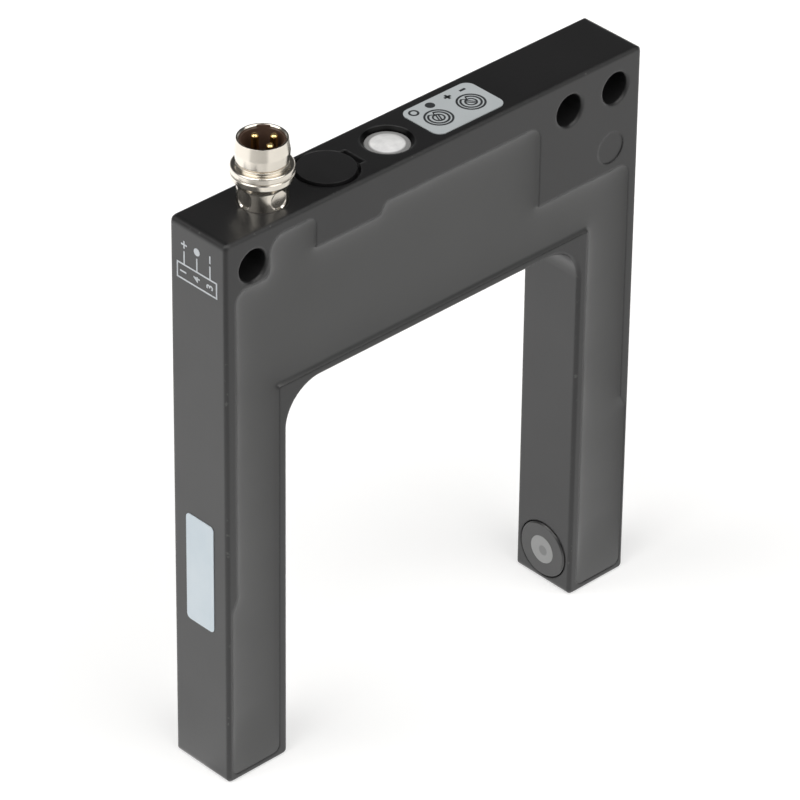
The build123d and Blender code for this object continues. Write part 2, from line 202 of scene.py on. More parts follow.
@dataclass
class Surface:
    """Points in millimetres and faces of four corners, grown piece by piece."""

    points: Array = field(default_factory=lambda: np.zeros((0, 3)))
    faces: Array = field(default_factory=lambda: np.zeros((0, 4), int))

    def add(self, points: Array, faces: Array) -> "Surface":
        """Adds points and the faces between them.

        Args:
            points: Points (x, y, z).
            faces: Corners of each face, counted from the first of these points.

        Returns:
            This surface.
        """
        self.faces = np.vstack([self.faces, faces + len(self.points)])
        self.points = np.vstack([self.points, points.reshape(-1, 3)])
        return self

    def add_grid(self, points: Array, wrap_rows: bool = False, wrap_columns: bool = False) -> "Surface":
        """Adds a grid of points, of shape (rows, columns, 3), with a face in each cell."""
        return self.add(points, grid_faces(*points.shape[:2], wrap_rows, wrap_columns))

    def add_band(
        self, inner: Array, outer: Array, levels: Pair, wrap: bool, facing: Facing = Facing.UP
    ) -> "Surface":
        """Adds a band: a rectangle's four corners carried along two curves.

        Args:
            inner: Points of its inner edge.
            outer: Points of its outer edge, as many.
            levels: Where its lower and upper faces lie.
            wrap: Whether it closes on itself; else its ends are pinched shut.
            facing: Which way it lies.

        Returns:
            This surface.
        """
        corners = np.stack([outer, inner, inner, outer], axis=1)
        grid = raised(corners, np.array([levels[1], levels[1], levels[0], levels[0]]))
        grid = grid if wrap else pinched(grid)
        return self.add_grid(np.roll(grid, facing.value, axis=2), wrap, True)

    def add_bar(
        self, start: Point, end: Point, width: float, levels: Pair, facing: Facing = Facing.UP
    ) -> "Surface":
        """Adds a straight bar between two points.

        Args:
            start: Its first point.
            end: Its last point.
            width: Its width.
            levels: Where its lower and upper faces lie.
            facing: Which way it lies.

        Returns:
            This surface.
        """
        line = np.array([start, end])
        along = unit(line[1] - line[0])
        half = np.array([-along[1], along[0]]) * width / 2
        return self.add_band(line - half, line + half, levels, False, facing)

    def build(self, name: str, crease: float) -> Piece:
        """Makes the closed mesh object, in metres.

        Args:
            name: Its name.
            crease: The angle in degrees past which an edge stays sharp.

        Returns:
            The object, at the origin.
        """
        mesh = bpy.data.meshes.new(name)
        mesh.from_pydata((self.points * MM).tolist(), [], self.faces.tolist())
        rework(mesh, merge=True)
        mesh.shade_smooth()
        mesh.set_sharp_from_angle(angle=radians(crease))
        return link(name, mesh)


# Shader trees


class Web:
    """A node tree with short ways to add and join nodes."""

    def __init__(self, tree: Tree, effects: Optional[dict[str, Tree]] = None) -> None:
        """Keeps the tree and the shared groups by name."""
        self.tree = tree
        self.effects = effects or {}

    def node(self, kind: str, *values: object, **settings: object) -> bpy.types.Node:
        """Adds a node.

        Args:
            kind: Its type, without "ShaderNode".
            values: Values or outputs for its first inputs, in order.
            settings: Its properties.

        Returns:
            The node.
        """
        made = self.tree.nodes.new("ShaderNode" + kind)
        for key, value in settings.items():
            setattr(made, key, value)
        for value, socket in zip(values, made.inputs):
            self.join(value, socket)
        return made

    def join(self, source: object, socket: Socket) -> None:
        """Links an output to a socket, or sets the socket to a plain value.

        Args:
            source: The output or the value.
            socket: The socket.
        """
        if isinstance(source, Socket):
            self.tree.links.new(source, socket)
        else:
            socket.default_value = source

    def feed(self, node: bpy.types.Node, values: dict[str, object]) -> bpy.types.Node:
        """Joins outputs or plain values to a node's inputs by name.

        Args:
            node: The node.
            values: Its inputs' names and what they get.

        Returns:
            The node.
        """
        for key, value in values.items():
            self.join(value, node.inputs[key])
        return node

    def maths(self, operation: str, *values: object, clamp: bool = False) -> Socket:
        """The result of a Math node, held between 0 and 1 where clamp is set."""
        return self.node("Math", *values, operation=operation, use_clamp=clamp).outputs[0]

    def vector(self, operation: str, *values: object) -> Socket:
        """The result of a Vector Math node, which is a number for a length or a dot product."""
        kind = "Value" if operation in ("LENGTH", "DOT_PRODUCT") else "Vector"
        return self.node("VectorMath", *values, operation=operation).outputs[kind]

    def split(self, source: Socket) -> Iterable[Socket]:
        """The X, Y and Z of a vector."""
        return self.node("SeparateXYZ", source).outputs

    def fit(
        self, value: object, low: object, high: object, start: object, end: object, kind: str = "SMOOTHSTEP"
    ) -> Socket:
        """Fits a value from the range low to high to start to end, along a curve, and holds it there."""
        return self.node("MapRange", value, low, high, start, end, interpolation_type=kind).outputs[0]

    def blend(self, share: object, first: object, second: object) -> Socket:
        """Mixes two colours.

        Args:
            share: How much of the second there is.
            first: Three numbers, or an output.
            second: Three numbers, or an output.

        Returns:
            The mixed colour.
        """
        made = self.node("Mix", share, data_type="RGBA")
        for entry, socket in ((first, made.inputs[6]), (second, made.inputs[7])):
            self.join((*entry, 1.0) if isinstance(entry, tuple) else entry, socket)
        return made.outputs[2]

    def place(self) -> Socket:
        """The Object coordinates, in metres from the sensor's origin."""
        return self.node("TexCoord").outputs["Object"]

    def disc(self, centre: Point, axis: str, radius: float, border: float, *ends: float) -> Socket:
        """Two values fitted to the distance from an axis: the first inside a radius, the second outside.

        Args:
            centre: A place on the axis, in millimetres.
            axis: The axis's letter.
            radius: The radius in millimetres.
            border: Half the width over which the value changes.
            ends: The two values.

        Returns:
            The fitted value.
        """
        centred = self.node("Mapping", self.place(), tuple(-value * MM for value in centre)).outputs[0]
        flat = self.vector("MULTIPLY", centred, tuple(float(letter != axis) for letter in "XYZ"))
        low, high = ((radius + side * border) * MM for side in (-1, 1))
        return self.fit(self.vector("LENGTH", flat), low, high, *ends)

    def noise(self, scale: object, detail: float = 2.0, rough: float = 0.5) -> Socket:
        """A noise from 0 to 1 over the Object coordinates; rough is the strength of its finer layers."""
        values = {"Scale": scale, "Detail": detail, "Roughness": rough}
        return self.feed(self.node("TexNoise", self.place()), values).outputs[0]

    def group(self, name: str, **values: object) -> Socket:
        """The result of a shared group, with numbers or outputs for its inputs."""
        return self.feed(self.node("Group", node_tree=self.effects[name]), values).outputs[0]


def new_group(name: str, *inputs: str) -> tuple[Web, list[Socket], Socket]:
    """Starts a shader node group of numbers.

    Args:
        name: Its name.
        inputs: Each input's name.

    Returns:
        Its web, its inputs and the socket of its result.
    """
    tree = bpy.data.node_groups.new(name, "ShaderNodeTree")
    for key, way in (*((key, "INPUT") for key in inputs), ("Result", "OUTPUT")):
        tree.interface.new_socket(key, in_out=way, socket_type="NodeSocketFloat")
    entry, result = (tree.nodes.new("NodeGroup" + kind) for kind in ("Input", "Output"))
    return Web(tree), [entry.outputs[key] for key in inputs], result.inputs[0]


class Effects:
    """The shader groups that more than one finish uses."""

    @classmethod
    def build(cls) -> dict[str, Tree]:
        """Builds each group once, and gives them by name."""
        trees = (cls.make_dust(), cls.make_grain(), cls.make_drift(), cls.make_edges())
        return {tree.name: tree for tree in trees}

    @staticmethod
    def make_dust() -> Tree:
        """Specks: near the centres of the Voronoi cells whose own random number is under Share.

        Returns:
            A group with inputs Scale, Share and Size whose result is a mask.
        """
        web, (scale, share, size), result = new_group("dust", "Scale", "Share", "Size")
        cells = web.feed(web.node("TexVoronoi", web.place()), {"Scale": scale})
        lot = web.node("SeparateColor", cells.outputs["Color"]).outputs
        chosen = web.maths("LESS_THAN", lot[0], share)
        smallest = 0.3
        reach = web.maths("MULTIPLY", size, web.maths("ADD", lot[1], smallest))
        near = web.maths("LESS_THAN", cells.outputs["Distance"], reach)
        web.join(web.maths("MULTIPLY", chosen, near), result)
        return web.tree

    @staticmethod
    def make_grain() -> Tree:
        """Fine relief: one noise on another of a third of its size.

        Returns:
            A group with inputs Scale and Fine whose result is a height.
        """
        web, (scale, fine), result = new_group("grain", "Scale", "Fine")
        finer = 3.1
        heights = [web.noise(web.maths("MULTIPLY", scale, factor), detail=1.0) for factor in (1.0, finer)]
        web.join(web.maths("ADD", heights[0], web.maths("MULTIPLY", heights[1], fine)), result)
        return web.tree

    @staticmethod
    def make_drift() -> Tree:
        """A slow change over the surface: a broad noise stretched about its middle.

        Returns:
            A group with inputs Scale, Low and High whose result is a value between Low and High.
        """
        web, (scale, low, high), result = new_group("drift", "Scale", "Low", "High")
        middle = (0.3, 0.7)
        web.join(web.fit(web.noise(scale, detail=3.0), *middle, low, high, "LINEAR"), result)
        return web.tree

    @staticmethod
    def make_edges() -> Tree:
        """The casting's outer edges: where two of its face planes are both nearer than a width.

        The distance to an edge is the second smallest of the distances to the planes in X, Y and Z.

        Returns:
            A group with input Width in metres whose result is a mask.
        """
        web, (width,), result = new_group("edges", "Width")
        kinds = ("SUBTRACT", "ABSOLUTE", "MINIMUM", "MAXIMUM")
        minus, size, lower, higher = (partial(web.maths, kind) for kind in kinds)
        margin = 0.5

        def off(value: Socket, plane: float, other: Socket, end: float) -> Socket:
            """The distance from one of the opening's faces, and over 1 past the face's end."""
            past = minus(1.0, web.maths("LESS_THAN", other, (end + margin) * MM))
            return web.maths("ADD", size(minus(value, plane * MM)), past)

        x, y, height = web.split(web.place())
        across = size(x)
        x = lower(minus(HALF_WIDTH * MM, across), off(across, HALF_GAP, height, FORK_DEPTH))
        y = minus(HALF_DEPTH * MM, size(y))
        z = lower(off(height, FORK_DEPTH, across, HALF_GAP), lower(minus(BODY_TOP * MM, height), height))
        nearest = lower(higher(x, y), lower(higher(y, z), higher(x, z)))
        web.join(minus(1.0, web.maths("DIVIDE", nearest, width), clamp=True), result)
        return web.tree


@dataclass(frozen=True)
class Finish:
    """A surface's colours, gloss, relief, dust and worn edges."""

    name: str
    colour: Colour
    second: Colour
    rough_low: float
    rough_high: float
    metallic: float = 0.0
    ior: float = 1.5
    grain: float = 2500.0
    fine_grain: float = 0.4
    relief: float = 0.00002
    drift: float = 90.0
    gloss_drift: float = 2.3
    dust: float = 0.0
    dust_scale: float = 420.0
    dust_size: float = 0.08
    dust_colour: Colour = (0.5, 0.5, 0.48)
    dust_rough: float = 0.4
    edge_colour: Optional[Colour] = None
    edge_width: float = 0.0005
    rub: tuple[float, float, float] = (900.0, 0.66, 0.6)
    round_edges: float = 0.0
    round_samples: int = 6
    coat: float = 0.0
    coat_rough: float = 0.08

    def tint(self, web: Web) -> Socket:
        """The colour: the first and second colours mixed by a slow drift."""
        share = web.group("drift", Scale=self.drift, Low=0.0, High=1.0)
        return web.blend(share, self.colour, self.second)

    def gloss(self, web: Web) -> Socket:
        """The roughness, which drifts between its two values."""
        scale = self.drift * self.gloss_drift
        return web.group("drift", Scale=scale, Low=self.rough_low, High=self.rough_high)

    def metal(self, web: Web) -> object:
        """The metal's share, a number or an output."""
        return self.metallic

    def worn(self, web: Web, colour: Socket) -> Socket:
        """Rubs the casting's edges down to a paler colour, in patches.

        Args:
            web: The material's web.
            colour: The colour so far.

        Returns:
            The worn colour.
        """
        scale, limit, depth = self.rub
        patch = web.maths("GREATER_THAN", web.noise(scale, detail=3.0, rough=0.6), limit)
        share = web.maths("MULTIPLY", web.group("edges", Width=self.edge_width), patch)
        return web.blend(web.maths("MULTIPLY", share, depth), colour, self.edge_colour)

    def build(self, effects: dict[str, Tree]) -> bpy.types.Material:
        """Makes the material.

        Args:
            effects: The shared groups by name.

        Returns:
            The material.
        """
        material = bpy.data.materials.new(self.name)
        material.use_nodes = True
        web = Web(material.node_tree, effects)
        colour, rough, metal = self.tint(web), self.gloss(web), self.metal(web)
        if self.edge_colour is not None:
            colour = self.worn(web, colour)
        if self.dust:
            specks = web.group("dust", Scale=self.dust_scale, Share=self.dust, Size=self.dust_size)
            colour = web.blend(specks, colour, self.dust_colour)
            rough = web.maths("ADD", rough, web.maths("MULTIPLY", specks, self.dust_rough))
        height = web.group("grain", Scale=self.grain, Fine=self.fine_grain)
        bump = web.feed(web.node("Bump"), {"Strength": 1.0, "Distance": self.relief, "Height": height})
        if self.round_edges:
            soft = web.feed(web.node("Bevel", samples=self.round_samples), {"Radius": self.round_edges})
            web.feed(bump, {"Normal": soft.outputs[0]})
        web.feed(material.node_tree.nodes["Principled BSDF"], {
            "Base Color": colour, "Roughness": rough, "Metallic": metal, "IOR": self.ior,
            "Coat Weight": self.coat, "Coat Roughness": self.coat_rough, "Normal": bump.outputs[0],
        })
        return material


@dataclass(frozen=True)
class CastFinish(Finish):
    """The casting's paint, with painted shade in the recess round the indicator: a near-black metallic colour
    that keeps the recess dark.
    """

    recess_radius: float = 3.36
    recess_border: float = 0.05
    recess_rough: float = 0.34
    # painted shade: the near-black colour that darkens the recess round the indicator
    recess_shade_colour: Colour = (0.008, 0.008, 0.008)

    def metal(self, web: Web) -> Socket:
        """The metal's share: 1 within the recess's radius of the indicator's axis, the mask of the painted
        shade.
        """
        centre = (*INDICATOR_CENTRE, 0.0)
        return web.disc(centre, "Z", self.recess_radius, self.recess_border, 1.0, 0.0)

    def tint(self, web: Web) -> Socket:
        """The paint's colour, and the near-black colour of the painted shade in the recess."""
        return web.blend(self.metal(web), super().tint(web), self.recess_shade_colour)

    def gloss(self, web: Web) -> Socket:
        """The paint's roughness, and the roughness of the painted shade in the recess.

        Args:
            web: The material's web.

        Returns:
            The roughness.
        """
        mask = self.metal(web)
        paint = web.maths("MULTIPLY", super().gloss(web), web.maths("SUBTRACT", 1.0, mask))
        return web.maths("MULTIPLY_ADD", mask, self.recess_rough, paint)


@dataclass(frozen=True)
class DiscFinish(Finish):
    """A finish whose colour changes at a radius from an axis."""

    axis: str = "Z"
    centre: Colour = (0.0, 0.0, 0.0)
    ring_radius: float = 1.0
    ring_colour: Colour = (0.0, 0.0, 0.0)
    softness: float = 0.1

    def tint(self, web: Web) -> Socket:
        """The colour, with the ring's colour from its radius outwards."""
        share = web.disc(self.centre, self.axis, self.ring_radius, self.softness, 0.0, 1.0)
        return web.blend(share, super().tint(web), self.ring_colour)


# The studio


def level_axes(back: Array) -> Array:
    """The axes, as columns, of an object whose Z runs along a unit direction and whose X is level."""
    right = unit(np.cross((0.0, 0.0, 1.0), back))
    return np.stack([right, np.cross(back, right), back], axis=1)


def set_axes(piece: Piece, axes: Array, place: Point = (0.0, 0.0, 0.0)) -> None:
    """Turns and moves a studio object.

    Args:
        piece: The object.
        axes: Its X, Y and Z directions, as a matrix's columns.
        place: Its place in millimetres.
    """
    matrix = np.eye(4)
    matrix[:3, :3] = axes
    matrix[:3, 3] = np.array(place) * MM
    piece.matrix_world = matrix.T.tolist()


@dataclass(frozen=True)
class Lamp:
    """A soft distant lamp."""

    name: str
    towards: Colour
    strength: float
    spread: float = 60.0
    colour: Colour = (1.0, 0.99, 0.97)

    def build(self) -> None:
        """Adds the lamp, which fills the angle spread, in degrees, of the sky."""
        data = bpy.data.lights.new(self.name, "SUN")
        data.energy = self.strength * np.pi
        data.angle = radians(self.spread)
        data.color = self.colour
        set_axes(link(self.name, data), level_axes(unit(np.array(self.towards))))


@dataclass
class Studio:
    """The camera, the floor, the soft lamps and the world around the sensor."""

    eye: Colour = (-427.52, -446.14, 455.50)
    azimuth: float = -43.69
    elevation: float = 33.922
    roll: float = 0.707
    focal_pixels: float = 5915.0
    frame_pixels: float = 800.0
    sensor_width: float = 36.0
    clip: Pair = (0.01, 50.0)
    floor_radii: Colour = (1500.0, 2000.0, 9000.0)
    floor_rise: float = 60.0
    floor_rise_start: float = 5000.0
    floor_rise_width: float = 4000.0
    floor_steps: int = 12
    floor_sides: int = 96
    floor_noise: float = 3.0
    floor_albedo: Pair = (0.59, 0.61)
    floor_white: float = 0.505
    floor_middle: float = 0.685
    swing_course: Colour = (-0.7071, 0.7071, 0.0)
    swing: Pair = (0.3, 0.135)
    swing_reach: Pair = (0.12, 0.24)
    patch_tone: float = 0.33
    patch_half_width: float = 0.085
    patch_start: Pair = (-0.042, -0.034)
    patch_end: Pair = (0.03, 0.08)
    patch_end_share: float = 0.4
    screen_azimuth: float = -55.7
    screen_border: Pair = (0.74, 0.86)
    screen_depth: float = 0.75
    screen_reach: Pair = (0.085, 0.12)
    screen_return: float = 0.2
    screen_return_reach: Pair = (0.15, 0.26)
    screen_sky: float = 0.4
    sky_heights: Pair = (0.05, 0.45)
    sky_tones: Pair = (0.5, 0.06)
    lamps: tuple[Lamp, ...] = (
        Lamp("left_box", (-0.661, 0.101, 0.743), 0.7), Lamp("right_box", (0.126, -0.63, 0.766), 0.55),
    )

    def add_camera(self) -> None:
        """Creates the camera, rolled about its view, and makes it the scene's."""
        lens = bpy.data.cameras.new("camera")
        lens.sensor_width = self.sensor_width
        lens.lens = self.focal_pixels / self.frame_pixels * self.sensor_width
        lens.clip_start, lens.clip_end = self.clip
        turn, lift, roll = (radians(value) for value in (self.azimuth, self.elevation, self.roll))
        right, up, back = level_axes(np.array([sin(turn) * cos(lift), -cos(turn) * cos(lift), sin(lift)])).T
        tilted = [cos(roll) * right + sin(roll) * up, cos(roll) * up - sin(roll) * right, back]
        camera = link("camera", lens)
        set_axes(camera, np.stack(tilted, axis=1), self.eye)
        bpy.context.scene.camera = camera

    def add_floor(self) -> None:
        """Makes the pale floor: a wide disc that rises a little at its far rim, white to the camera."""
        near, middle, far = self.floor_radii
        radius = np.concatenate([np.linspace(*ends, self.floor_steps) for ends in ((0, near), (middle, far))])
        rise = self.floor_rise * smoothstep((radius - self.floor_rise_start) / self.floor_rise_width)
        profile = swept(np.stack([radius, rise], axis=1), self.floor_sides)
        piece = Surface().add_grid(turned(*profile, (0.0, 0.0)), wrap_rows=True).build("floor", crease=180.0)
        material = bpy.data.materials.new("floor_white")
        material.use_nodes = True
        nodes = material.node_tree.nodes
        nodes.remove(nodes["Principled BSDF"])
        web = Web(material.node_tree)
        plain = web.node("BsdfDiffuse", web.fit(web.noise(self.floor_noise), 0.0, 1.0, *self.floor_albedo))
        path = web.node("LightPath").outputs
        mirrored = web.maths("MAXIMUM", path["Is Glossy Ray"], path["Is Transmission Ray"])
        white = web.maths("MULTIPLY", path["Is Camera Ray"], self.floor_white)
        strength = web.maths("MULTIPLY_ADD", mirrored, self.mirrored_tone(web), white)
        glow = web.feed(web.node("Emission"), {"Strength": strength})
        both = web.node("AddShader", plain.outputs[0], glow.outputs[0])
        web.feed(nodes["Material Output"], {"Surface": both.outputs[0]})
        piece.data.materials.append(material)

    def mirrored_tone(self, web: Web) -> Socket:
        """The floor's glow in reflections: brighter behind the left arm, dimmer towards the dark screen.

        For the unit direction (x, y) from the left arm's foot, it is middle + swing (y - x) / sqrt 2. The
        swing shrinks with the distance, the screen's part grows, and a patch under the fork glows more.

        Args:
            web: The floor's web.

        Returns:
            The glow.
        """
        place = web.place()
        shifted = web.vector("ADD", place, (HALF_WIDTH * MM, 0.0, 0.0))
        course = web.vector("NORMALIZE", shifted)
        lean = web.vector("DOT_PRODUCT", course, self.swing_course)
        away = web.vector("LENGTH", shifted)
        swing = web.fit(away, *self.swing_reach, *self.swing)
        tone = web.maths("MULTIPLY_ADD", lean, swing, self.floor_middle)
        far = web.fit(away, *self.screen_reach, 0.0, self.screen_depth)
        back = web.fit(away, *self.screen_return_reach, 0.0, self.screen_return)
        screen = web.maths("MULTIPLY", self.screen_mask(web, course), web.maths("SUBTRACT", far, back))
        tone = web.maths("SUBTRACT", tone, screen)
        x, y, _ = web.split(place)
        patch = web.fit(web.maths("ABSOLUTE", y), 0.0, self.patch_half_width, self.patch_tone, 0.0)
        patch = web.maths("MULTIPLY", patch, web.fit(x, *self.patch_start, 0.0, 1.0))
        patch = web.maths("MULTIPLY", patch, web.fit(x, *self.patch_end, 1.0, self.patch_end_share))
        return web.maths("MAXIMUM", web.maths("ADD", tone, patch), 0.0)

    def screen_mask(self, web: Web, course: Socket) -> Socket:
        """The dark sector of the studio between its soft boxes.

        Args:
            web: The web to build in.
            course: A unit direction.

        Returns:
            A mask, 1 where the direction points to the sector.
        """
        angle = radians(self.screen_azimuth)
        towards = (sin(angle), -cos(angle), 0.0)
        return web.fit(web.vector("DOT_PRODUCT", course, towards), *self.screen_border, 0.0, 1.0)

    def add_world(self) -> None:
        """Makes the world: white to the camera, else bright at the horizon and dim overhead."""
        world = bpy.data.worlds.new("studio")
        bpy.context.scene.world = world
        world.use_nodes = True
        web = Web(world.node_tree)
        course = web.node("TexCoord").outputs["Generated"]
        _, _, height = web.split(course)
        level = web.vector("NORMALIZE", web.vector("MULTIPLY", course, (1.0, 1.0, 0.0)))
        screen = web.maths("MULTIPLY", self.screen_mask(web, level), self.screen_sky)
        sky = web.fit(height, *self.sky_heights, *self.sky_tones)
        sky = web.maths("MULTIPLY", sky, web.maths("SUBTRACT", 1.0, screen))
        path = web.node("LightPath").outputs
        strength = web.node("Mix", path["Is Camera Ray"], data_type="FLOAT")
        for value, socket in zip((sky, 1.0), strength.inputs[2:4]):
            web.join(value, socket)
        values = {"Color": (1.0, 1.0, 1.0, 1.0), "Strength": strength.outputs[0]}
        web.feed(world.node_tree.nodes["Background"], values)

    def build(self) -> None:
        """Sets up the whole studio and the plain colour view."""
        self.add_camera()
        self.add_floor()
        for lamp in self.lamps:
            lamp.build()
        self.add_world()
        bpy.context.scene.view_settings.view_transform = "Standard"
        log.info("studio ready")


# The sensor's own pieces


@dataclass
class Potting:
    """The cast resin's drawn-up surface over the tray's outline."""

    half_outer: float = 33.35
    half_chamber: float = 34.25
    half_inner: float = 26.4
    foot: float = 1.0
    chamber_top: float = 26.0
    slope_top: float = 27.9
    boss: Pair = (-27.85, 72.85)
    bay_top: float = 78.2
    cap_block: Colour = (-20.35, -9.6, 73.8)
    indicator_block: Pair = (-9.0, 75.4)
    mounting_block: Pair = (17.4, 63.6)
    bridge: float = 56.2
    level: float = -4.215
    underside: float = -4.17
    steep_rise: float = 0.1
    steep_reach: float = 0.28
    wide_rise: float = 0.65
    wide_reach: float = 1.8
    lean: float = 0.032
    lean_start: float = 12.0
    foot_reach: float = 9.0
    ripple: float = 0.012
    waves: Colour = (3.7, 5.1, 4.3)
    wave_bend: float = 0.8
    wave_shift: float = 1.1
    step: float = 0.3
    border: float = 0.3
    foot_border: float = 0.5
    sweeps: int = 900
    arc_steps: int = 8

    def outline(self) -> Array:
        """The tray's outline.

        Returns:
            Its points (x, z), rounded, clockwise from the foot of the connector's arm.
        """
        left, right, block = self.cap_block
        outer, chamber, inner = self.half_outer, self.half_chamber, self.half_inner
        corners = [
            (-chamber, self.foot, 1.0), (-chamber, self.chamber_top, 0.0), (-outer, self.slope_top, 0.0),
            (-outer, self.boss[1], 1.8), (*self.boss, 0.9), (self.boss[0], self.bay_top, 2.4),
            (left, self.bay_top, 1.3), (left, block, 0.0), (right, block, 0.9), (*self.indicator_block, 0.9),
            (self.mounting_block[0], self.indicator_block[1], 2.0), (*self.mounting_block, 0.0),
            (outer, self.mounting_block[1], 1.8), (outer, self.slope_top, 0.0),
            (chamber, self.chamber_top, 0.0), (chamber, self.foot, 1.0), (inner, self.foot, 1.0),
            (inner, self.bridge, 0.0), (-inner, self.bridge, 0.0), (-inner, self.foot, 1.0),
        ]
        return rounded(np.array(corners), self.arc_steps)

    def nearest(self, x: Array, z: Array) -> tuple[Array, Array, Array, Array]:
        """Finds each point's nearest place on the outline.

        The nearest place on a side is the perpendicular's foot, held between its ends. A point is inside
        where a ray from it along X crosses the outline an odd number of times.

        Args:
            x: The points' x.
            z: The points' z.

        Returns:
            The distance, the nearest place's x and z, and whether the point is inside.
        """
        start = self.outline()
        along = np.roll(start, -1, axis=0) - start
        length = np.maximum((along**2).sum(1), 1e-12)
        best, near_x, near_z = (np.full(x.shape, value) for value in (np.inf, 0.0, 0.0))
        inside = np.zeros(x.shape, bool)
        for (sx, sz), (ax, az), square in zip(start, along, length):
            share = np.clip(((x - sx) * ax + (z - sz) * az) / square, 0, 1)
            px, pz = sx + share * ax, sz + share * az
            gap = np.hypot(x - px, z - pz)
            closer = gap < best
            pairs = ((gap, best), (px, near_x), (pz, near_z))
            best, near_x, near_z = (np.where(closer, *pair) for pair in pairs)
            crosses = (sz > z) != (sz + az > z)
            inside ^= crosses & (x < sx + ax * (z - sz) / (az if az else 1.0))
        return best, near_x, near_z, inside

    def climb(self, inside: Array) -> Array:
        """The wide part of the resin's climb, 1 at the walls and falling off over wide_reach.

        It solves climb = reach^2 times the sum of its second differences, a liquid's shape at a wall, by
        sweeps that set each inner point from its four neighbours. The arms' feet aren't walls.

        Args:
            inside: Which points lie in the tray.

        Returns:
            The climb's share at each point.
        """
        weight = (self.wide_reach / self.step) ** 2
        share = np.where(inside, 0.0, 1.0)
        first = int(inside.any(axis=0).argmax())
        for _ in range(self.sweeps):
            share[:, :first] = share[:, first : first + 1]
            padded = np.pad(share, 1, mode="edge")
            around = padded[:-2, 1:-1] + padded[2:, 1:-1] + padded[1:-1, :-2] + padded[1:-1, 2:]
            share = np.where(inside, weight * around / (1 + 4 * weight), 1.0)
        return share

    def depth(self, x: Array, z: Array, gap: Array, climb: Array) -> Array:
        """The surface's y: level, less the climb, plus the lean of the arms' surfaces and a faint ripple.

        The climb is steep_rise exp(-gap / steep_reach) + wide_rise climb, and near the feet a smooth ramp
        takes the surface up to the rim. The lean is a slope across each arm.

        Args:
            x: The points' x.
            z: The points' z.
            gap: Their distance from the walls.
            climb: The share of the wide climb.

        Returns:
            The y of each point.
        """
        aside = np.minimum(np.abs(x) - self.half_inner, self.half_chamber - np.abs(x))
        gap = np.where(z < self.foot_reach, np.maximum(aside, 0.0), gap)
        rise = self.steep_rise * np.exp(-gap / self.steep_reach) + self.wide_rise * climb
        ramp = smoothstep(1 - (z - self.foot) / self.foot_reach)
        first, second, third = self.waves
        ripple = np.sin(x / first + self.wave_bend * np.sin(z / second)) * np.sin(z / third + self.wave_shift)
        across = np.abs(x) - (self.half_outer + self.half_inner) / 2
        lean = self.lean * np.sign(x) * across * smoothstep((self.bridge - z) / self.lean_start)
        flat = self.ripple * ripple + lean * (1 - ramp)
        return self.level - rise * (1 - ramp) - (self.steep_rise + self.wide_rise) * ramp + flat * (1 - climb)

    def build(self) -> Piece:
        """Makes the skin: a height over a grid whose border is drawn to the outline, and a flat back.

        Returns:
            The thin closed plate.
        """
        wide = np.arange(-self.half_chamber - self.step, self.half_chamber + 2 * self.step, self.step)
        tall = np.arange(self.foot - self.step, self.bay_top + 2 * self.step, self.step)
        x, z = np.meshgrid(wide, tall, indexing="ij")
        gap, near_x, near_z, inside = self.nearest(x, z)
        climb = self.climb(inside)
        core = inside & (gap > self.border * self.step)
        x, z = np.where(core, x, near_x), np.where(core, z, near_z)
        climb = np.where(core | (z < self.foot + self.foot_border * self.step), climb, 1.0)
        y = self.depth(x, z, np.where(core, gap, 0.0), climb)
        cells = grid_faces(*x.shape, False, False)
        cells = cells[core.reshape(-1)[cells].any(axis=1)]
        front = np.stack([x, y, z], axis=-1).reshape(-1, 3)
        back = front.copy()
        back[:, 1] = self.underside
        count = len(front)
        edges = np.concatenate([cells[:, [0, 1]], cells[:, [1, 2]], cells[:, [2, 3]], cells[:, [3, 0]]])
        keys = np.sort(edges, axis=1)
        keys = keys[:, 0] * count + keys[:, 1]
        order, times = np.unique(keys, return_counts=True)
        rim = edges[np.isin(keys, order[times == 1])]
        wall = np.stack([rim[:, 1], rim[:, 0], rim[:, 0] + count, rim[:, 1] + count], axis=1)
        faces = np.vstack([cells, cells[:, ::-1] + count, wall])
        used, place = np.unique(faces, return_inverse=True)
        skin = Surface().add(np.vstack([front, back])[used], place.reshape(faces.shape))
        return skin.build("resin_skin", crease=50.0)


